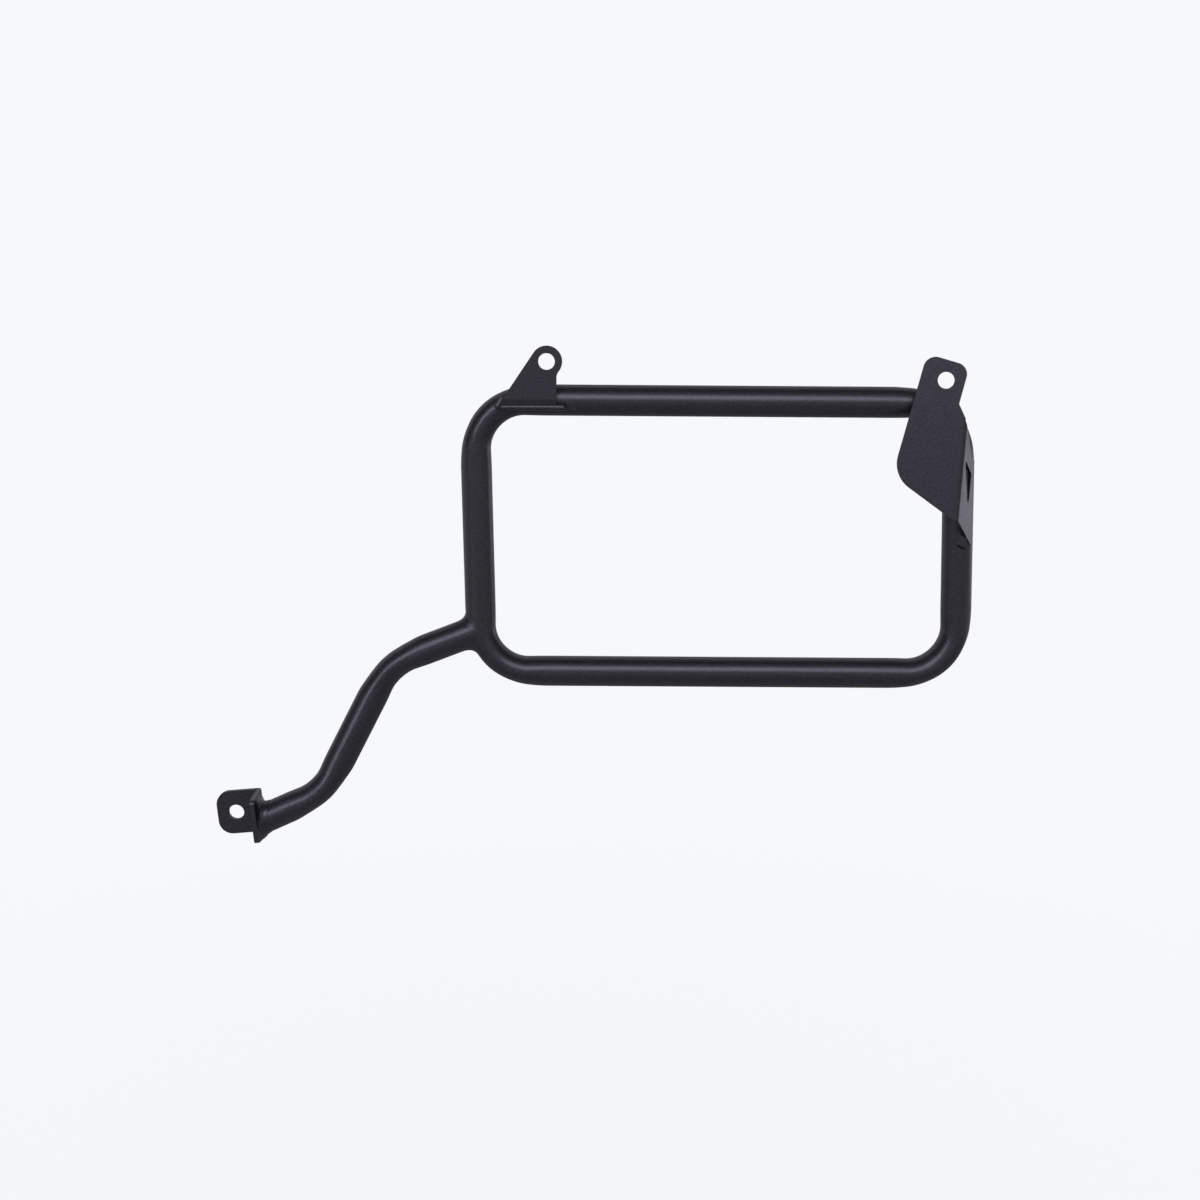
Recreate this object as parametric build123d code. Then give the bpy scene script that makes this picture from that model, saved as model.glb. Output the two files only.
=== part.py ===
from build123d import *
from math import cos, radians, sin, sqrt, tan
import os

# Motorcycle pannier frame: a bent tube loop, an S-bent stay and three sheet brackets, welded.
# Millimetres. X runs to the rear, Y away from the motorcycle, Z up.
# Everything is placed from the loop's centre and moved to the front bolt hole on export.

# Tube
tube_diameter = 19.0
tube_wall = 1.6
bend_thickness = 16.8     # tube across a bend, in the bend's plane
bend_width = 19.6         # tube across a bend, out of the bend's plane
bend_run_in = 0.22        # share of a bend over which the round tube turns oval

# Loop, along the tube's centre line; its uprights lean forwards at the top, in degrees
loop_length = 297.0       # at half height
loop_height = 170.0
loop_bend_radius = 31.0
front_lean = 1.2
rear_lean = 1.8
closing_gap = 1.2

# Stay, along the tube's centre line; each drop is in degrees below level, going forwards
stay_height = 27.0        # joint above the loop's bottom rail
stay_upper_run = 62.3
stay_upper_drop = 21.5
stay_middle_run = 95.5
stay_middle_drop = 63.0
stay_lower_run = 44.7
stay_lower_drop = 25.0
stay_bend_radius = 42.0

# Bolt holes, M8 with coarse clearance
bolt_hole = 10.0

# Front tab, from the loop's top front corner
tab_sheet = 3.0
tab_hole_back = 44.3      # hole behind the loop's top front corner
tab_hole_up = 24.0        # hole above the rail's centre line
tab_ear_radius = 9.4
tab_lean = 34.0           # front edge, degrees from upright
tab_back_edge = 6.0       # rear edge behind the hole
tab_waist_radius = 6.0
tab_foot_top = 1.6        # fold above the rail's centre line
tab_foot_drop = 1.6       # foot's lower edge below the rail's centre line
tab_foot_angle = 20.0
tab_fold_radius = 1.5

# Rear bracket, in the plate's own axes: in from the fold, up from the flange's middle
rear_sheet = 3.0
rear_fold_radius = 1.0
rear_plate_turn = 8.0     # plate turned from the loop's plane
rear_flange_turn = 54.0   # flange turned from the loop's plane
rear_flange_depth = 20.4  # fold corner to the tube's side
rear_flange_lap = 1.4     # flange's outer face beyond the tube's side
rear_bracket_lean = 3.3   # bracket leaning backwards at the top
rear_bracket_tip = 4.5    # bracket tipped away from the motorcycle at the top
rear_middle_drop = 41.6   # flange's middle below the top rail's centre line
rear_fold_top = 31.3
rear_fold_bottom = 28.5
rear_toe = 4.0            # level bottom edge beside the fold
rear_lobe_in = 40.8
rear_lobe_drop = 5.0
rear_lobe_radius = 18.2
rear_top_front_in = 26.4
rear_top_front_up = 69.0
rear_top_back_in = 0.9
rear_top_back_up = 63.1
rear_top_radius = 7.1
rear_neck_in = 5.1
rear_neck_up = 40.4
rear_neck_radius = 2.0
rear_hole_in = 13.9
rear_hole_up = 54.0

# Rear flange's corners and cut-out, along the flange from the fold corner
rear_shoulder_along = 13.6
rear_shoulder_up = 8.6
rear_end_along = 17.9
rear_end_up = 6.8
rear_tip_along = 24.2
rear_tip_drop = 45.2
cutout_front = 3.6
cutout_front_up = 8.2
cutout_back = 15.2
cutout_back_drop = 1.4
cutout_foot = 14.4
cutout_foot_drop = 23.0
cutout_radius = 1.0

# Lower bracket, from its bolt hole
lower_sheet = 3.0
lower_fold_radius = 0.8
lower_turn = 5.0          # bracket turned in the loop's plane
lower_height = 28.6
lower_depth = 27.9
lower_stay_in = 12.5      # stay's axis in front of the ear's outer face
lower_hole_to_face = 18.1
lower_hole_to_end = 12.2
lower_stay_drop = 3.3     # stay's axis below the hole, on the flange
lower_ear_radius = 9.0
lower_flange_radius = 3.0

# Welds; a leg is the weld's reach along both of the surfaces that it joins
stay_weld_leg = 3.0
stay_weld_rise = 2.4      # weld's middle above the stay's axis
stay_weld_side = 0.1      # share of the leg that is left at the tubes' sides
tab_weld_radius = 2.0
tab_weld_out = 0.5        # bead's middle in front of the tab's heel
tab_weld_sink = 1.0       # bead's middle below the tab's toe
tab_weld_overrun = 3.4    # bead carried on past the tab's rear edge
tab_weld_end_radius = 1.6
tab_weld_rise = 1.0       # bead on the tab's front edge, above the rail's centre line
rear_weld_leg = 2.4
lower_weld_leg = 6.0
weld_toe = 0.2            # thickness left at a collar's edge
weld_stations = (0.0, 0.1, 0.3, 0.6, 1.0)  # a collar's sections, as shares of its leg

# Room left between a sheet and the tube that it is welded to
fit_up = 0.2

tube_radius = tube_diameter / 2
half_length = loop_length / 2
half_height = loop_height / 2


def flat_point(x, z):
    """A point in the loop's plane."""
    return Vector(x, 0, z)


def tube_section(path, share, flattened, shrink):
    """The tube's section at a share of a path, round or flattened, shrunk all round."""
    plane = Plane(origin=path @ share, x_dir=(0, 1, 0), z_dir=path % share)
    if not flattened:
        return plane * Circle(tube_radius - shrink)
    return plane * Ellipse(bend_width / 2 - shrink, bend_thickness / 2 - shrink)


def tube_run(path, shrink):
    """One straight or one bend of a tube."""
    if path.geom_type == GeomType.LINE:
        return sweep(tube_section(path, 0, False, shrink), path=path)
    stations = (0, bend_run_in, 0.5, 1 - bend_run_in, 1)
    sections = [tube_section(path, share, 0 < share < 1, shrink) for share in stations]
    return sweep(sections, path=path, multisection=True)


def tube_solid(route, bend_radius, shrink=0.0):
    """A solid along a route of straight runs and tangent bends."""
    line = FilletPolyline(*route, radius=bend_radius)
    runs = [tube_run(edge, shrink) for edge in line.edges()]
    return Part() + runs


def bead(start, end, radius):
    """A straight, round-ended weld bead."""
    path = Line(start, end)
    length = sweep(Plane(origin=start, z_dir=path % 0) * Circle(radius), path=path)
    return length + Pos(start) * Sphere(radius) + Pos(end) * Sphere(radius)


def weld_collar(foot, along, normal, leg, side_share, sink):
    """A hollow-sided collar round a tube that meets a face at a skew, sunk below that face."""
    skew = abs(along.dot(normal))
    sections = []
    for share in weld_stations:
        reach = leg * (1 - sqrt(1 - (1 - share) ** 2))
        outline = Ellipse(tube_radius + weld_toe + side_share * reach, tube_radius / skew + weld_toe + reach)
        middle = foot - along * (leg * share / skew)
        sections.append(Plane(origin=middle, x_dir=(0, 1, 0), z_dir=normal) * outline)
    return loft(sections, ruled=True) + extrude(sections[0], -sink)


def write_node(shape, name):
    """Moves a finished piece to the front bolt hole and writes it."""
    export_step(Pos(-front_hole) * shape, f"parts/{name}.step")


def front_axis(z):
    """The front upright's centre line at a height."""
    return flat_point(-half_length - z * tan(radians(front_lean)), z)


def rear_axis(z):
    """The rear upright's centre line at a height."""
    return flat_point(half_length - z * tan(radians(rear_lean)), z)


# Loop: one tube from the middle of the bottom rail, all the way round
loop_route = [
    flat_point(closing_gap / 2, -half_height),
    rear_axis(-half_height),
    rear_axis(half_height),
    front_axis(half_height),
    front_axis(-half_height),
    flat_point(-closing_gap / 2, -half_height),
]
loop_outside = tube_solid(loop_route, loop_bend_radius)
loop_tube = loop_outside - tube_solid(loop_route, loop_bend_radius, tube_wall)

closing_ring = Circle(tube_radius) - Circle(tube_radius - tube_wall)
closing_plane = Plane(origin=loop_route[-1], z_dir=(1, 0, 0))
closing_weld = extrude(closing_plane * closing_ring, closing_gap)

# Stay route, from the loop's front tube to the lower bracket's flange
stay_route = [front_axis(stay_height - half_height)]
for run, drop in (
    (stay_upper_run, stay_upper_drop),
    (stay_middle_run, stay_middle_drop),
    (stay_lower_run, stay_lower_drop),
):
    stay_route.append(stay_route[-1] + flat_point(-run * cos(radians(drop)), -run * sin(radians(drop))))
stay_end = stay_route[-1]


def round_flange_tip(solid):
    """Rounds the two corners at the free edge of the lower bracket's flange."""
    tip_edges = solid.edges().filter_by(Axis.X).group_by(Axis.Y)[0]
    return fillet(tip_edges, lower_flange_radius)


# Lower bracket: drawn level about its hole, then turned and set against the stay's end
lower_near_y = lower_stay_in - lower_depth
lower_place = (
    Pos(stay_end)
    * Rot(0, -lower_turn, 0)
    * Pos(-lower_hole_to_face, 0, lower_stay_drop)
)
lower_corner = (lower_hole_to_face, lower_stay_in)
lower_profile = Polyline(
    (-lower_hole_to_end, lower_stay_in),
    lower_corner,
    (lower_hole_to_face, lower_near_y),
    (lower_hole_to_face - lower_sheet, lower_near_y),
    (lower_hole_to_face - lower_sheet, lower_stay_in - lower_sheet),
    (-lower_hole_to_end, lower_stay_in - lower_sheet),
    close=True,
)
lower_profile = make_face(lower_profile)
lower_outer = lower_profile.vertices().sort_by_distance(Vector(*lower_corner))[0]
lower_profile = fillet(lower_outer, lower_fold_radius + lower_sheet)
lower_inner_corner = Vector(lower_hole_to_face - lower_sheet, lower_stay_in - lower_sheet)
lower_inner = lower_profile.vertices().sort_by_distance(lower_inner_corner)[0]
lower_profile = fillet(lower_inner, lower_fold_radius)
lower_sheet_solid = Pos(0, 0, -lower_height / 2) * extrude(lower_profile, lower_height)
lower_ear_edges = lower_sheet_solid.edges().filter_by(Axis.Y).group_by(Axis.X)[0]
lower_sheet_solid = fillet(lower_ear_edges, lower_ear_radius)
lower_sheet_solid = round_flange_tip(lower_sheet_solid)
lower_bore = Rot(90, 0, 0) * Cylinder(bolt_hole / 2, 2 * lower_sheet)
lower_bore = Pos(0, lower_stay_in - lower_sheet / 2, 0) * lower_bore
lower_bracket = lower_place * (lower_sheet_solid - lower_bore)

# Stay: run on past the flange, then cut off at its face and saddled over the loop
stay_last = (stay_route[-1] - stay_route[-2]).normalized()
stay_long = stay_route[:-1] + [stay_end + stay_last * tube_diameter]
flange_normal = Vector(1, 0, 0).rotate(Axis.Y, -lower_turn)
flange_face = Plane(origin=stay_end, x_dir=(0, 1, 0), z_dir=flange_normal)
stay_solid = split(tube_solid(stay_long, stay_bend_radius), bisect_by=flange_face, keep=Keep.TOP)
stay_outside = stay_solid - loop_outside
stay_tube = stay_outside - tube_solid(stay_long, stay_bend_radius, tube_wall)

# Stay weld: a collar on the side of the front upright, flush with the tubes' own sides
upright_up = (front_axis(half_height) - front_axis(-half_height)).normalized()
upright_front = upright_up.cross(Vector(0, 1, 0))
stay_first = (stay_route[0] - stay_route[1]).normalized()
stay_foot = stay_route[0] + stay_first * ((tube_radius - weld_toe) / stay_first.dot(upright_front))
stay_foot += upright_up * stay_weld_rise
stay_collar = weld_collar(stay_foot, stay_first, upright_front, stay_weld_leg, stay_weld_side, tube_radius)
stay_weld = stay_collar - loop_outside - stay_solid

# Front tab: a sheet bent at the rail and trimmed to its outline, drawn from the rail below its hole
tab_foot_y = -(bend_width / 2 + fit_up)
tab_back_y = tab_foot_y - (tab_foot_top + tab_foot_drop) * tan(radians(tab_foot_angle))
tab_face_y = tab_back_y - tab_sheet
tab_top = tab_hole_up + tab_ear_radius
tab_inner_fold = (tab_back_y, tab_foot_top)
tab_outer_fold = (tab_face_y, tab_foot_top - tab_sheet * tan(radians(tab_foot_angle / 2)))
tab_toe = (
    tab_foot_y - tab_sheet * cos(radians(tab_foot_angle)),
    -tab_foot_drop - tab_sheet * sin(radians(tab_foot_angle)),
)
tab_profile = FilletPolyline(
    (tab_back_y, tab_top),
    tab_inner_fold,
    (tab_foot_y, -tab_foot_drop),
    tab_toe,
    tab_outer_fold,
    (tab_face_y, tab_top),
    radius=(0, tab_fold_radius, 0, 0, tab_fold_radius + tab_sheet, 0),
    close=True,
)
tab_below = tab_toe[1] - tab_sheet
tab_tangent_x = -tab_ear_radius * cos(radians(tab_lean))
tab_tangent_z = tab_hole_up + tab_ear_radius * sin(radians(tab_lean))


def tab_front_x(z):
    """The tab's leaning front edge at a height."""
    return tab_tangent_x - (tab_tangent_z - z) * tan(radians(tab_lean))


tab_blade = Polyline(
    (tab_front_x(tab_below), tab_below),
    (tab_tangent_x, tab_tangent_z),
    (0, tab_hole_up),
    (tab_back_edge, tab_hole_up),
    (tab_back_edge, tab_below),
    close=True,
)
tab_outline = make_face(tab_blade) + Pos(0, tab_hole_up) * Circle(tab_ear_radius)
tab_waist = (tab_back_edge, tab_hole_up - sqrt(tab_ear_radius**2 - tab_back_edge**2))
tab_outline = fillet(tab_outline.vertices().sort_by_distance(tab_waist)[0], tab_waist_radius)
tab_outline -= Pos(0, tab_hole_up) * Circle(bolt_hole / 2)
tab_width = tab_back_edge - tab_front_x(tab_below)
tab_strip = extrude(Plane.YZ * make_face(tab_profile), tab_width, both=True)
tab_base = front_axis(half_height) + flat_point(tab_hole_back, 0)
tab_place = Pos(tab_base)
front_tab = tab_place * (tab_strip & extrude(Plane.XZ * tab_outline, -2 * tab_face_y, both=True))
front_hole = tab_base + Vector(0, tab_face_y, tab_hole_up)

# Front tab weld: a bead under the foot, carried on to the rear, and a thin one up the front edge
tab_weld_y = tab_foot_y - tab_weld_out
tab_weld_z = tab_toe[1] - tab_weld_sink
foot_bead = bead(
    Vector(tab_front_x(0), tab_weld_y, tab_weld_z),
    Vector(tab_back_edge + tab_weld_overrun, tab_weld_y, tab_weld_z),
    tab_weld_radius,
)
edge_bead = bead(
    Vector(tab_front_x(tab_toe[1]), tab_weld_y, tab_toe[1]),
    Vector(tab_front_x(tab_weld_rise), tab_weld_y, tab_weld_rise),
    tab_weld_end_radius,
)
front_tab_weld = tab_place * (foot_bead + edge_bead) - loop_outside - front_tab

# Rear bracket: a sheet folded once, trimmed in the plane of each leaf and coped to the tube
flange_along = Vector(cos(radians(rear_flange_turn)), sin(radians(rear_flange_turn)))
flange_inward = Vector(-flange_along.Y, flange_along.X)
plate_along = Vector(cos(radians(rear_plate_turn)), -sin(radians(rear_plate_turn)))
plate_inward = Vector(-plate_along.Y, plate_along.X)
rear_corner = -flange_inward * (tube_radius + rear_flange_lap) - flange_along * rear_flange_depth
rear_flange_end = rear_corner + flange_along * (rear_tip_along + rear_sheet)
rear_turn = rear_flange_turn + rear_plate_turn
rear_inner_corner = (
    rear_corner + (plate_inward - plate_along * tan(radians(rear_turn / 2))) * rear_sheet
)
rear_plate_end = rear_corner - plate_along * (rear_lobe_in + rear_sheet)
rear_profile = FilletPolyline(
    rear_plate_end,
    rear_corner,
    rear_flange_end,
    rear_flange_end + flange_inward * rear_sheet,
    rear_inner_corner,
    rear_plate_end + plate_inward * rear_sheet,
    radius=(0, rear_fold_radius + rear_sheet, 0, 0, rear_fold_radius, 0),
    close=True,
)
rear_tall = rear_top_front_up + rear_tip_drop
rear_strip = extrude(make_face(rear_profile), rear_tall, both=True)

rear_plate_outline = FilletPolyline(
    (rear_sheet, rear_fold_top),
    (0, rear_fold_top),
    (-rear_neck_in, rear_neck_up),
    (-rear_top_back_in, rear_top_back_up),
    (-rear_top_front_in, rear_top_front_up),
    (-rear_lobe_in, -rear_lobe_drop),
    (-rear_toe, -rear_fold_bottom),
    (rear_sheet, -rear_fold_bottom),
    radius=(0, 0, rear_neck_radius, rear_top_radius, rear_top_radius, rear_lobe_radius, 0, 0),
    close=True,
)
rear_hole = Pos(-rear_hole_in, rear_hole_up) * Circle(bolt_hole / 2)
rear_plate_plane = Plane(origin=rear_corner, x_dir=plate_along, z_dir=-plate_inward)
rear_plate_mask = extrude(
    rear_plate_plane * (make_face(rear_plate_outline) - rear_hole), 2 * rear_sheet, both=True
)

rear_flange_outline = Polyline(
    (-rear_sheet, rear_fold_top),
    (0, rear_fold_top),
    (rear_shoulder_along, rear_shoulder_up),
    (rear_end_along, rear_end_up),
    (rear_tip_along, -rear_tip_drop),
    (0, -rear_fold_bottom),
    (-rear_sheet, -rear_fold_bottom),
    close=True,
)
rear_cutout = FilletPolyline(
    (cutout_front, cutout_front_up),
    (cutout_back, -cutout_back_drop),
    (cutout_foot, -cutout_foot_drop),
    radius=cutout_radius,
    close=True,
)
rear_flange_plane = Plane(origin=rear_corner, x_dir=flange_along, z_dir=-flange_inward)
rear_flange_mask = extrude(
    rear_flange_plane * (make_face(rear_flange_outline) - make_face(rear_cutout)),
    2 * rear_sheet,
    both=True,
)

rear_bisector = Plane(origin=rear_corner, z_dir=plate_along + flange_along)
rear_plate = split(rear_strip, bisect_by=rear_bisector, keep=Keep.BOTTOM) & rear_plate_mask
rear_flange = split(rear_strip, bisect_by=rear_bisector, keep=Keep.TOP) & rear_flange_mask
rear_place = (
    Pos(rear_axis(half_height - rear_middle_drop))
    * Rot(0, rear_bracket_lean, 0)
    * Rot(-rear_bracket_tip, 0, 0)
)
rear_blank = rear_place * (rear_plate + rear_flange)
rear_bracket = rear_blank - loop_outside

# Rear weld: inside the flange and round its lower end
rear_upright = Line(rear_axis(-half_height), rear_axis(half_height - loop_bend_radius))
rear_weld_shift = Pos(-rear_sheet - rear_weld_leg, -rear_weld_leg)
rear_weld_face = rear_flange_plane * rear_weld_shift * make_face(rear_flange_outline)
rear_weld_reach = rear_place * extrude(rear_weld_face, -(rear_sheet + rear_weld_leg))
rear_bracket_weld = tube_run(rear_upright, -rear_weld_leg) & rear_weld_reach
rear_bracket_weld = rear_bracket_weld - loop_outside - rear_blank

# Lower weld: a collar on the lower bracket's flange, no wider than the flange
lower_collar = weld_collar(stay_end, stay_last, flange_normal, lower_weld_leg, 1, lower_sheet)
lower_flange_box = round_flange_tip(Box(lower_depth, lower_depth, lower_height))
lower_collar &= lower_place * Pos(lower_hole_to_face, lower_stay_in - lower_depth / 2, 0) * lower_flange_box
lower_bracket_weld = lower_collar - lower_bracket - tube_run(Line(stay_route[-2], stay_long[-1]), 0)

os.makedirs("parts", exist_ok=True)
for shape, name in (
    (loop_tube, "loop_tube"),
    (closing_weld, "closing_weld"),
    (stay_tube, "stay_tube"),
    (stay_weld, "stay_weld"),
    (front_tab, "front_tab"),
    (front_tab_weld, "front_tab_weld"),
    (rear_bracket, "rear_bracket"),
    (rear_bracket_weld, "rear_bracket_weld"),
    (lower_bracket, "lower_bracket"),
    (lower_bracket_weld, "lower_bracket_weld"),
):
    write_node(shape, name)
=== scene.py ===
"""The look of the motorcycle pannier frame: powder coat, tube skins, weld beads, camera and studio light."""

import math
from collections import namedtuple

import bpy
from mathutils import Matrix, Vector
from mathutils.bvhtree import BVHTree


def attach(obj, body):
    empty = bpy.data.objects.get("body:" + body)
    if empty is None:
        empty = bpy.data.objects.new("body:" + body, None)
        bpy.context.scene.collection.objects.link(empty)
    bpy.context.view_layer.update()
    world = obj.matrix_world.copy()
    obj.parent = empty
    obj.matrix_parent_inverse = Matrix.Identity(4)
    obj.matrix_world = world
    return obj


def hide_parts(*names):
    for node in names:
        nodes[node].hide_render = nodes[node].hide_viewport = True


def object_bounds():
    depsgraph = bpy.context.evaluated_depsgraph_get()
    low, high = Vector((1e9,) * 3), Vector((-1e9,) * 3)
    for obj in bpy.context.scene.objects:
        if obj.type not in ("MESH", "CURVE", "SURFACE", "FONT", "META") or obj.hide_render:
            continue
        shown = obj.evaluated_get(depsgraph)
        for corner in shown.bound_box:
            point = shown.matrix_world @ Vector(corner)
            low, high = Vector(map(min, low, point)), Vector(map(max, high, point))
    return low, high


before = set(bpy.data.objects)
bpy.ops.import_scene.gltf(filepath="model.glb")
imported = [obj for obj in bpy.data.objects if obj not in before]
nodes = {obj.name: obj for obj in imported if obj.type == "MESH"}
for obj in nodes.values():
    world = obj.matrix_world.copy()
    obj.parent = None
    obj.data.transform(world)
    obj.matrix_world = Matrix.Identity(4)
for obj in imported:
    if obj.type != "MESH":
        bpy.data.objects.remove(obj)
cad_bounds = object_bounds()

# Camera, found from the photo: VIEW_OFFSET is where it sees the loop's centre, to its right, up and back
LOOP_CENTRE = Vector((0.10598, 0.0141647, -0.109))
VIEW_PITCH = math.radians(11.5375)
VIEW_YAW = math.radians(-0.1406)
VIEW_ROLL = math.radians(0.41)
VIEW_OFFSET = Vector((0.0731225, 0.03801, -1.01748))
SENSOR_WIDTH = 36.0
LENS = 49.2

# Tubes, in the solids' sizes: both centre lines lie in one plane, and SIDEWAYS points out of it; each of
# the stay's runs has its length and its drop below level
SIDEWAYS = Vector((0, 1, 0))
TUBE_RADIUS = 0.0095
LOOP_HALF_LENGTH = 0.1485
LOOP_HALF_HEIGHT = 0.085
FRONT_LEAN = math.radians(1.2)
REAR_LEAN = math.radians(1.8)
LOOP_BEND = 0.031
CLOSING_GAP = 0.0012
STAY_JOINT = -0.058
STAY_RUNS = (
    (0.0623, math.radians(21.5)),
    (0.0955, math.radians(63.0)),
    (0.0447, math.radians(25.0)),
)
STAY_BEND = 0.042

# A bend's oval section: flatter outside than inside, a little wider, and running out into the straights;
# BEND_EVEN is the share of this that stays evenly oval
BEND_OUTER_FLAT = 0.0017
BEND_INNER_FLAT = 0.0005
BEND_WIDEN = 0.0003
BEND_RUN_OUT = 0.010
BEND_EVEN = 0.3
BEND_STATIONS = 40
STRAIGHT_STATIONS = 24
TUBE_STEPS = 48
Station = namedtuple("Station", "point along out share")

# Stay's weld: its legs along the stay and over the loop, least at the sides, with more above and below
LEAST_LEGS = (0.0012, 0.0006)
MORE_ABOVE = (0.0062, 0.0044)
MORE_BELOW = (0.0072, 0.0062)
LEG_TAPER = 1.5
RING_TURNS = 120
RING_STEPS = 10
RIPPLE = 0.02
RIPPLES = 30
FINE_RIPPLES = 81
FINE_RIPPLE_START = 1

# Rays start well back along the stay, the weld's a little inside it; its hidden edge lies SKIN deep
RAY_BACK = 0.03
RAY_INSET = 0.985
SKIN = 0.0012
REACH_STEP = SKIN / 4

# Front tab's beads, along the foot and up the front edge: both ends, and the radius at each; none of them
# runs along BEAD_ACROSS, and BEAD_TIP_SQUARE keeps their tips open
TAB_BEADS = (
    (Vector((-0.0272, 0.0030, -0.0276)), Vector((0.0096, 0.0028, -0.0276)), (0.0018, 0.0024)),
    (Vector((-0.0296, 0.0016, -0.0268)), Vector((-0.0271, 0.0027, -0.0224)), (0.0018, 0.0017)),
)
BEAD_RINGS = 120
BEAD_STEPS = 28
BEAD_PITCH = 0.0021
BEAD_RIPPLE = 0.006
BEAD_ACROSS = Vector((0.3, 1, 0.1))
BEAD_TIP_SQUARE = 1e-9

# Powder coat: colours are linear, and each grain is a noise's scale and detail
COAT_DARK = (0.0055, 0.0052, 0.0072, 1.0)
COAT_LIGHT = (0.0135, 0.0128, 0.0172, 1.0)
COAT_SHEEN = (0.85, 0.80, 1.0, 1.0)
MOTTLE_GRAIN = (800, 3)
MOTTLE_ENDS = (0.40, 0.60)
GLOSS_FACING = (0.35, 0.75)
GLOSS_LEVELS = (0.36, 0.04)
ROUGHNESS_GRAIN = (160, 3)
ROUGHNESS_LEVELS = (0.26, 0.36)
PEEL_GRAIN = (900, 2)
PEEL_STRENGTH = 0.35
PEEL_DEPTH = 0.0002

# Studio
BACKDROP = (0.922, 0.939, 0.965, 1.0)
FLOOR_DROP = 0.35
FLOOR_SIZE = 40.0
FLOOR_OWN_COLOUR = 0.95
FLOOR_FADE = (0.3, 1.4)
FLOOR_GLOSS_SHARE = 0.3
FLOOR_GLOSS_FADE = (1.2, 2.6)
FLOOR_PAPER = (0.55, 0.56, 0.58, 1.0)
AMBIENT = 0.15
ROOM_EDGE = (0.15, 0.62)
ROOM_DIM = 0.16
WHITE_LIGHT = (1, 1, 1)
SIDE_LIGHT = (0.88, 0.83, 1.0)
SPOT_BLEND = 0.6


def set_camera():
    """The photo's camera: square picture, a little above the frame and almost straight on."""
    ahead = Vector((-math.sin(VIEW_YAW), math.cos(VIEW_YAW), 0))
    right = Vector((math.cos(VIEW_YAW), math.sin(VIEW_YAW), 0))
    back = Vector((0, 0, math.sin(VIEW_PITCH))) - ahead * math.cos(VIEW_PITCH)
    up = back.cross(right)
    rolled_right = right * math.cos(VIEW_ROLL) + up * math.sin(VIEW_ROLL)
    rolled_up = up * math.cos(VIEW_ROLL) - right * math.sin(VIEW_ROLL)
    turn = Matrix((rolled_right, rolled_up, back)).transposed()
    data = bpy.data.cameras.new("photo_camera")
    data.sensor_width = SENSOR_WIDTH
    data.lens = LENS
    camera = bpy.data.objects.new("photo_camera", data)
    camera.matrix_world = Matrix.Translation(LOOP_CENTRE - turn @ VIEW_OFFSET) @ turn.to_4x4()
    bpy.context.scene.collection.objects.link(camera)
    bpy.context.scene.camera = camera


def combine(tree, operation, first, second):
    """A maths node over two sockets."""
    node = tree.nodes.new("ShaderNodeMath")
    node.operation = operation
    tree.links.new(first, node.inputs[0])
    tree.links.new(second, node.inputs[1])
    return node.outputs[0]


def ramp(tree, value, ends, results, kind="SMOOTHSTEP"):
    """A step over a socket, between two ends."""
    node = tree.nodes.new("ShaderNodeMapRange")
    node.interpolation_type = kind
    node.inputs["From Min"].default_value = ends[0]
    node.inputs["From Max"].default_value = ends[1]
    node.inputs["To Min"].default_value = results[0]
    node.inputs["To Max"].default_value = results[1]
    tree.links.new(value, node.inputs["Value"])
    return node.outputs["Result"]


def powder_coat():
    """Satin black powder coat: a fine orange-peel skin with a faint mottle in its shade and sheen."""
    material = bpy.data.materials.new("powder_coat")
    material.use_nodes = True
    tree = material.node_tree
    shader = tree.nodes["Principled BSDF"]
    place = tree.nodes.new("ShaderNodeTexCoord")

    def noise(scale, detail):
        node = tree.nodes.new("ShaderNodeTexNoise")
        node.inputs["Scale"].default_value = scale
        node.inputs["Detail"].default_value = detail
        tree.links.new(place.outputs["Object"], node.inputs["Vector"])
        return node.outputs["Fac"]

    shade = tree.nodes.new("ShaderNodeValToRGB")
    for stop, position, colour in zip(shade.color_ramp.elements, MOTTLE_ENDS, (COAT_DARK, COAT_LIGHT)):
        stop.position = position
        stop.color = colour
    tree.links.new(noise(*MOTTLE_GRAIN), shade.inputs["Fac"])
    tree.links.new(shade.outputs["Color"], shader.inputs["Base Color"])

    rim = tree.nodes.new("ShaderNodeLayerWeight")
    gloss = ramp(tree, rim.outputs["Facing"], GLOSS_FACING, GLOSS_LEVELS, "LINEAR")
    tree.links.new(gloss, shader.inputs["Specular IOR Level"])
    shader.inputs["Specular Tint"].default_value = COAT_SHEEN
    roughness = ramp(tree, noise(*ROUGHNESS_GRAIN), (0, 1), ROUGHNESS_LEVELS, "LINEAR")
    tree.links.new(roughness, shader.inputs["Roughness"])

    peel = tree.nodes.new("ShaderNodeBump")
    peel.inputs["Strength"].default_value = PEEL_STRENGTH
    peel.inputs["Distance"].default_value = PEEL_DEPTH
    tree.links.new(noise(*PEEL_GRAIN), peel.inputs["Height"])
    tree.links.new(peel.outputs["Normal"], shader.inputs["Normal"])
    return material


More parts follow.
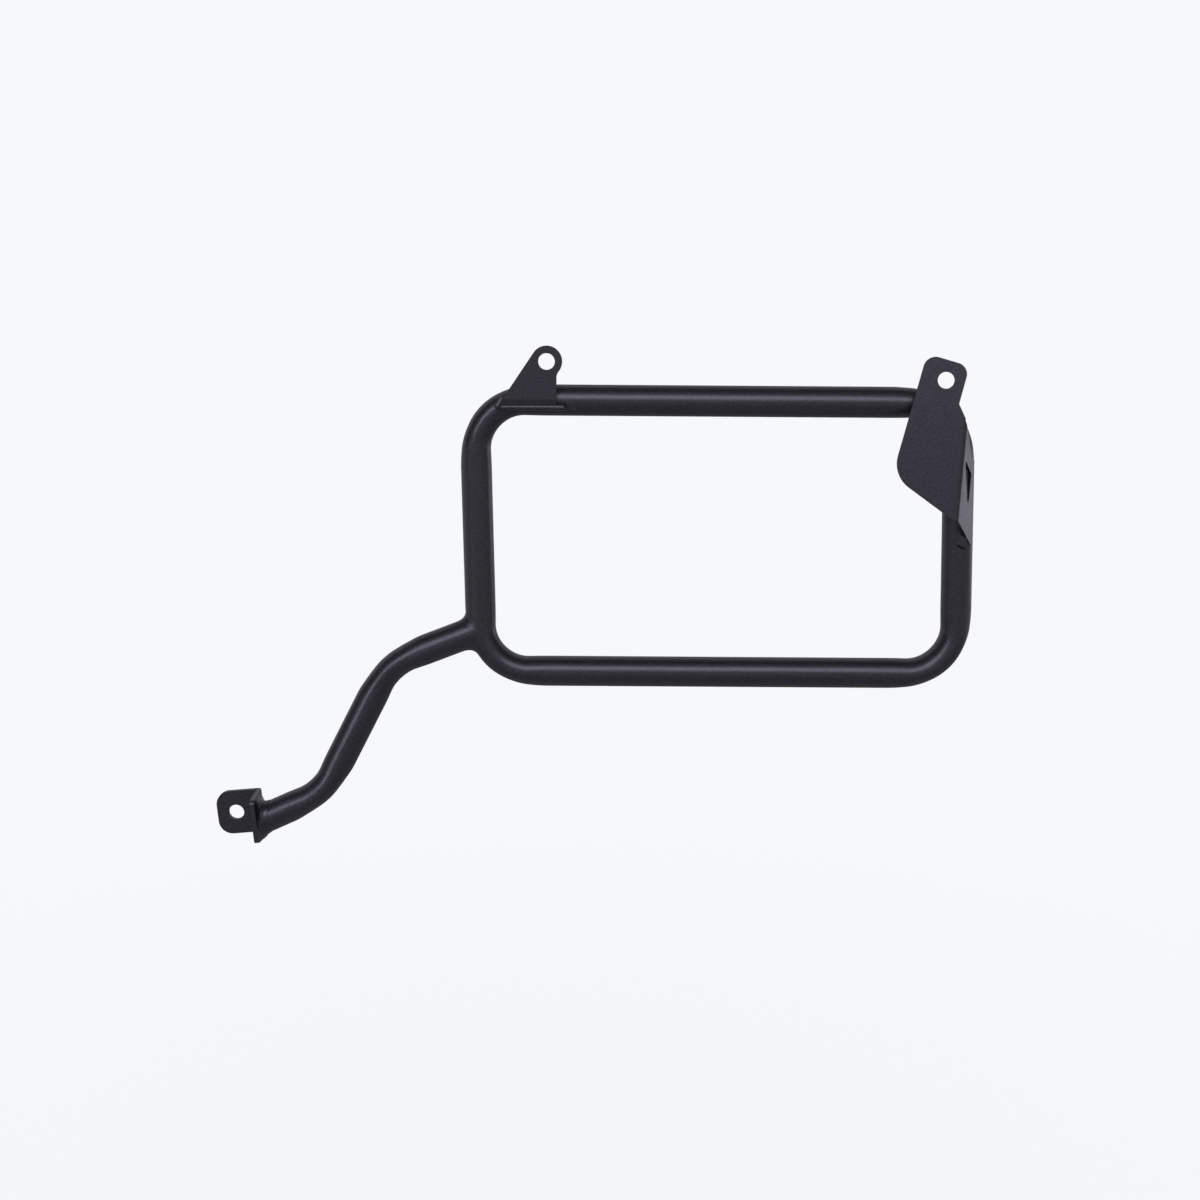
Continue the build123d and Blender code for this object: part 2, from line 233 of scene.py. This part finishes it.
def set_world():
    """The photo's plain pale background in front and behind, a dim room to the sides and above."""
    world = bpy.data.worlds.new("studio")
    bpy.context.scene.world = world
    world.use_nodes = True
    tree = world.node_tree
    ambient = tree.nodes["Background"]
    ambient.inputs["Color"].default_value = BACKDROP
    ambient.inputs["Strength"].default_value = AMBIENT
    backdrop = tree.nodes.new("ShaderNodeBackground")
    backdrop.inputs["Color"].default_value = BACKDROP
    place = tree.nodes.new("ShaderNodeTexCoord")
    axes = tree.nodes.new("ShaderNodeSeparateXYZ")
    tree.links.new(place.outputs["Generated"], axes.inputs[0])
    depth = tree.nodes.new("ShaderNodeMath")
    depth.operation = "ABSOLUTE"
    tree.links.new(axes.outputs["Y"], depth.inputs[0])
    room = ramp(tree, depth.outputs[0], ROOM_EDGE, (ROOM_DIM, 1.0))
    path = tree.nodes.new("ShaderNodeLightPath")
    strength = combine(tree, "MAXIMUM", room, path.outputs["Is Camera Ray"])
    tree.links.new(strength, backdrop.inputs["Strength"])
    seen = combine(tree, "MAXIMUM", path.outputs["Is Camera Ray"], path.outputs["Is Glossy Ray"])
    seen = combine(tree, "MAXIMUM", seen, path.outputs["Is Transmission Ray"])
    mix = tree.nodes.new("ShaderNodeMixShader")
    tree.links.new(seen, mix.inputs["Fac"])
    tree.links.new(ambient.outputs[0], mix.inputs[1])
    tree.links.new(backdrop.outputs[0], mix.inputs[2])
    tree.links.new(mix.outputs[0], tree.nodes["World Output"].inputs["Surface"])


def floor_paper():
    """Matt pale paper that shows mostly the background's colour, and less of it close to the frame."""
    material = bpy.data.materials.new("floor_paper")
    material.use_nodes = True
    tree = material.node_tree
    paper = tree.nodes["Principled BSDF"]
    paper.inputs["Base Color"].default_value = FLOOR_PAPER
    paper.inputs["Roughness"].default_value = 1.0
    paper.inputs["Specular IOR Level"].default_value = 0.0
    own = tree.nodes.new("ShaderNodeEmission")
    own.inputs["Color"].default_value = BACKDROP
    place = tree.nodes.new("ShaderNodeTexCoord")
    away = tree.nodes.new("ShaderNodeVectorMath")
    away.operation = "LENGTH"
    tree.links.new(place.outputs["Object"], away.inputs[0])
    direct = ramp(tree, away.outputs["Value"], FLOOR_FADE, (FLOOR_OWN_COLOUR, 1.0))
    mirrored = ramp(tree, away.outputs["Value"], FLOOR_GLOSS_FADE, (FLOOR_GLOSS_SHARE, 1.0))
    path = tree.nodes.new("ShaderNodeLightPath")
    seen = combine(tree, "MAXIMUM", path.outputs["Is Camera Ray"], path.outputs["Is Transmission Ray"])
    seen = combine(tree, "MULTIPLY", seen, direct)
    glossy = combine(tree, "MULTIPLY", path.outputs["Is Glossy Ray"], mirrored)
    share = combine(tree, "MAXIMUM", seen, glossy)
    mix = tree.nodes.new("ShaderNodeMixShader")
    tree.links.new(share, mix.inputs["Fac"])
    tree.links.new(paper.outputs[0], mix.inputs[1])
    tree.links.new(own.outputs[0], mix.inputs[2])
    tree.links.new(mix.outputs[0], tree.nodes["Material Output"].inputs["Surface"])
    return material


def lay_floor():
    """A pale floor below the frame that still takes a soft shadow."""
    half = FLOOR_SIZE / 2
    height = cad_bounds[0][2] - FLOOR_DROP
    corners = [(x, y, height) for x, y in ((-half, -half), (half, -half), (half, half), (-half, half))]
    mesh = bpy.data.meshes.new("floor")
    mesh.from_pydata(corners, [], [(0, 1, 2, 3)])
    mesh.materials.append(floor_paper())
    floor = bpy.data.objects.new("floor", mesh)
    bpy.context.scene.collection.objects.link(floor)


def add_piece(name, points, faces, node):
    """A smooth mesh piece that stands for a CAD node and rides with the frame."""
    mesh = bpy.data.meshes.new(name)
    mesh.from_pydata(points, [], faces)
    mesh.shade_smooth()
    mesh.materials.append(coat)
    piece = bpy.data.objects.new(name, mesh)
    bpy.context.scene.collection.objects.link(piece)
    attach(piece, "root")
    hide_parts(node)


def grid_faces(rings, count, first=0, closed=False):
    """Faces between neighbouring rings of points, all of one count."""
    faces = []
    for ring in range(rings if closed else rings - 1):
        here = first + ring * count
        there = first + ((ring + 1) % rings) * count
        for step in range(count):
            ahead = (step + 1) % count
            faces.append((here + step, here + ahead, there + ahead, there + step))
    return faces


def node_surface(name):
    """A CAD node's surface where it stands, for rays."""
    node = nodes[name]
    points = [node.matrix_world @ vertex.co for vertex in node.data.vertices]
    return BVHTree.FromPolygons(points, [face.vertices for face in node.data.polygons])


def loop_corner(side, height):
    """A point on the line of the loop's front (-1) or rear (1) upright, at a height from its centre."""
    lean = FRONT_LEAN if side < 0 else REAR_LEAN
    return LOOP_CENTRE + Vector((side * LOOP_HALF_LENGTH - height * math.tan(lean), 0, height))


def loop_route():
    """The loop's centre line, from the closing weld all the way round to it."""
    low = LOOP_CENTRE - Vector((0, 0, LOOP_HALF_HEIGHT))
    half_gap = Vector((CLOSING_GAP / 2, 0, 0))
    rear_then_front = ((1, -1), (1, 1), (-1, 1), (-1, -1))
    corners = [loop_corner(side, level * LOOP_HALF_HEIGHT) for side, level in rear_then_front]
    return [low + half_gap, *corners, low - half_gap]


def forward_down(drop):
    """A direction in the tubes' plane, forwards and below level by an angle."""
    return Vector((-math.cos(drop), 0, -math.sin(drop)))


def stay_route():
    """The stay's centre line, from the loop's front tube to the lower flange."""
    route = [loop_corner(-1, STAY_JOINT)]
    for run, drop in STAY_RUNS:
        route.append(route[-1] + forward_down(drop) * run)
    return route


def oval_share(distance, half_bend):
    """How oval the tube is at a distance from a bend's middle: all there, none past the run-out."""
    share = (distance / (half_bend + BEND_RUN_OUT) - BEND_EVEN) / (1 - BEND_EVEN)
    share = min(max(share, 0), 1)
    return 1 - share * share * (3 - 2 * share)


def bend_stations(before, corner, after, bend_radius):
    """Stations round the bend at a route's corner, and half the bend's length."""
    into = (corner - before).normalized()
    onward = (after - corner).normalized()
    turn = into.angle(onward)
    half_bend = turn * bend_radius / 2
    outward = (into - onward).normalized()
    midway = (into + onward).normalized()
    centre = corner - outward * bend_radius / math.cos(turn / 2)
    stations = []
    for step in range(BEND_STATIONS + 1):
        angle = (step / BEND_STATIONS - 0.5) * turn
        out = outward * math.cos(angle) + midway * math.sin(angle)
        along = midway * math.cos(angle) - outward * math.sin(angle)
        share = oval_share(abs(angle) * bend_radius, half_bend)
        stations.append(Station(centre + out * bend_radius, along, out, share))
    return stations, half_bend


def straight_stations(start, end, behind, ahead):
    """Stations along a straight; behind and ahead are its bends' outer sides and half lengths, or None."""
    along = (end - start).normalized()
    stations = []
    for step in range(STRAIGHT_STATIONS + 1):
        point = start.lerp(end, step / STRAIGHT_STATIONS)
        if behind is None or (ahead and step > STRAIGHT_STATIONS / 2):
            out, half_bend = ahead
            distance = (point - end).length + half_bend
        else:
            out, half_bend = behind
            distance = (point - start).length + half_bend
        stations.append(Station(point, along, out, oval_share(distance, half_bend)))
    return stations


def tube_stations(route, bend_radius):
    """Stations along a route of straights and tangent bends."""
    stations = []
    start = route[0]
    behind = None
    for before, corner, after in zip(route, route[1:], route[2:]):
        bend, half_bend = bend_stations(before, corner, after, bend_radius)
        stations += straight_stations(start, bend[0].point, behind, (bend[0].out, half_bend))
        stations += bend[1:-1]
        start = bend[-1].point
        behind = (bend[-1].out, half_bend)
    return stations + straight_stations(start, route[-1], behind, None)


def tube_skin(name, node, route, bend_radius, butted=None):
    """A tube's outer skin with smooth oval bends; its last ring runs on to the surface it is butted to."""
    stations = tube_stations(route, bend_radius)
    points = []
    for point, along, out, share in stations:
        across = SIDEWAYS.cross(along)
        for step in range(TUBE_STEPS):
            angle = 2 * math.pi * step / TUBE_STEPS
            outside = math.cos(angle) * across.dot(out) > 0
            flat = share * (BEND_OUTER_FLAT if outside else BEND_INNER_FLAT)
            reach = across * math.cos(angle) * (TUBE_RADIUS - flat)
            points.append(point + reach + SIDEWAYS * math.sin(angle) * (TUBE_RADIUS + BEND_WIDEN * share))
    if butted:
        along = stations[-1].along
        for index in range(len(points) - TUBE_STEPS, len(points)):
            points[index] = butted.ray_cast(points[index] - along * RAY_BACK, along)[0]
    faces = grid_faces(len(stations), TUBE_STEPS)
    add_piece(name, points, faces, node)
    return BVHTree.FromPolygons(points, faces)


def stay_legs(angle):
    """The stay weld's legs at an angle round the stay: wide above and below, next to none at the sides."""
    share = abs(math.cos(angle)) ** LEG_TAPER
    more = MORE_ABOVE if math.cos(angle) > 0 else MORE_BELOW
    return [least + extra * share for least, extra in zip(LEAST_LEGS, more)]


def is_covered(surface, point, normal):
    """Whether a surface lies within a skin's depth of a point, to either side."""
    return surface.ray_cast(point + normal * SKIN, -normal, 2 * SKIN)[0] is not None


def fillet_ring(name, node, surface, axis_point, along):
    """A hollow, faintly rippled weld ring where the stay runs on to a surface."""
    up = along.cross(SIDEWAYS).normalized()
    points = []
    for turn in range(RING_TURNS):
        angle = 2 * math.pi * turn / RING_TURNS
        out = up * math.cos(angle) + SIDEWAYS * math.sin(angle)
        start = axis_point - along * RAY_BACK + out * TUBE_RADIUS * RAY_INSET
        corner, normal, _, _ = surface.ray_cast(start, along)
        on_stay, on_surface = stay_legs(angle)
        wave = 1 + RIPPLE * math.sin(RIPPLES * angle)
        wave += RIPPLE * math.sin(FINE_RIPPLES * angle + FINE_RIPPLE_START)
        toe = corner - along * on_stay * wave + out * TUBE_RADIUS * (1 - RAY_INSET)
        away = (out - normal * out.dot(normal)).normalized()
        reach = on_surface * wave
        while reach > SKIN and not is_covered(surface, corner + away * reach, normal):
            reach -= REACH_STEP
        foot = surface.find_nearest(corner + away * reach)[0]
        for step in range(RING_STEPS + 1):
            share = step / RING_STEPS
            points.append(toe * (1 - share) ** 2 + corner * 2 * share * (1 - share) + foot * share**2)
        hidden = corner + along * SKIN - out * SKIN
        points.append(hidden)
    add_piece(name, points, grid_faces(RING_TURNS, RING_STEPS + 2, closed=True), node)


def bead_points(start, end, radii):
    """A round-ended, faintly rippled bead between two points, its radius changing from end to end."""
    length = (end - start).length
    along = (end - start).normalized()
    across = along.cross(BEAD_ACROSS).normalized()
    forward = across.cross(along)
    points = []
    for ring in range(BEAD_RINGS):
        share = ring / (BEAD_RINGS - 1)
        radius = radii[0] + (radii[1] - radii[0]) * share
        place = -radius + share * (length + 2 * radius)
        past = max(-place, place - length, 0)
        girth = math.sqrt(max(radius**2 - past**2, BEAD_TIP_SQUARE))
        girth *= 1 + BEAD_RIPPLE * math.sin(2 * math.pi * place / BEAD_PITCH)
        for step in range(BEAD_STEPS):
            angle = 2 * math.pi * step / BEAD_STEPS
            spoke = across * math.cos(angle) + forward * math.sin(angle)
            points.append(start + along * place + spoke * girth)
    return points


def bead_piece(name, beads, node):
    """One or more beads as a single piece that stands for a CAD node."""
    points = []
    faces = []
    for start, end, radii in beads:
        first = len(points)
        last = first + (BEAD_RINGS - 1) * BEAD_STEPS
        points += bead_points(start, end, radii)
        faces += grid_faces(BEAD_RINGS, BEAD_STEPS, first)
        faces.append(tuple(first + step for step in reversed(range(BEAD_STEPS))))
        faces.append(tuple(last + step for step in range(BEAD_STEPS)))
    add_piece(name, points, faces, node)


def hang(data, place, target):
    """A lamp at a place, turned to a target; both are set out from the loop's centre."""
    light = bpy.data.objects.new(data.name, data)
    light.location = LOOP_CENTRE + Vector(place)
    light.rotation_euler = (Vector(target) - Vector(place)).to_track_quat("-Z", "Y").to_euler()
    bpy.context.scene.collection.objects.link(light)


def hang_panel(name, place, target, width, height, watts, colour=WHITE_LIGHT):
    """A soft panel light."""
    data = bpy.data.lights.new(name, "AREA")
    data.shape = "RECTANGLE"
    data.size = width
    data.size_y = height
    data.energy = watts
    data.color = colour
    hang(data, place, target)


def hang_spot(name, place, target, radius, cone, watts):
    """A narrow soft spot light."""
    data = bpy.data.lights.new(name, "SPOT")
    data.energy = watts
    data.shadow_soft_size = radius
    data.spot_size = math.radians(cone)
    data.spot_blend = SPOT_BLEND
    hang(data, place, target)


coat = powder_coat()
for node in nodes.values():
    node.data.materials.clear()
    node.data.materials.append(coat)

loop_surface = tube_skin("loop_skin", "loop_tube", loop_route(), LOOP_BEND)
stay_line = stay_route()
tube_skin("stay_skin", "stay_tube", stay_line, STAY_BEND, node_surface("lower_bracket"))
stay_rise = (stay_line[0] - stay_line[1]).normalized()
fillet_ring("stay_fillet", "stay_weld", loop_surface, stay_line[0], stay_rise)
bead_piece("tab_beads", TAB_BEADS, "front_tab_weld")

bpy.context.scene.view_settings.view_transform = "Standard"
set_camera()
set_world()
lay_floor()
hang_panel("key_light", place=(-0.15, -1.5, 0.97), target=(0, 0, 0), width=2.0, height=0.80, watts=27)
hang_panel(
    "left_light", place=(-1.25, -1.45, 0.50), target=(-0.25, 0, -0.15), width=0.55, height=0.45, watts=5.4
)
hang_panel(
    "side_light",
    place=(0.82, 0.45, -0.06),
    target=(0.155, 0, 0.02),
    width=0.3,
    height=0.2,
    watts=0.38,
    colour=SIDE_LIGHT,
)
hang_spot(
    "stay_spot", place=(-0.66, -0.44, -0.12), target=(-0.235, 0, -0.135), radius=0.10, cone=16, watts=4.0
)
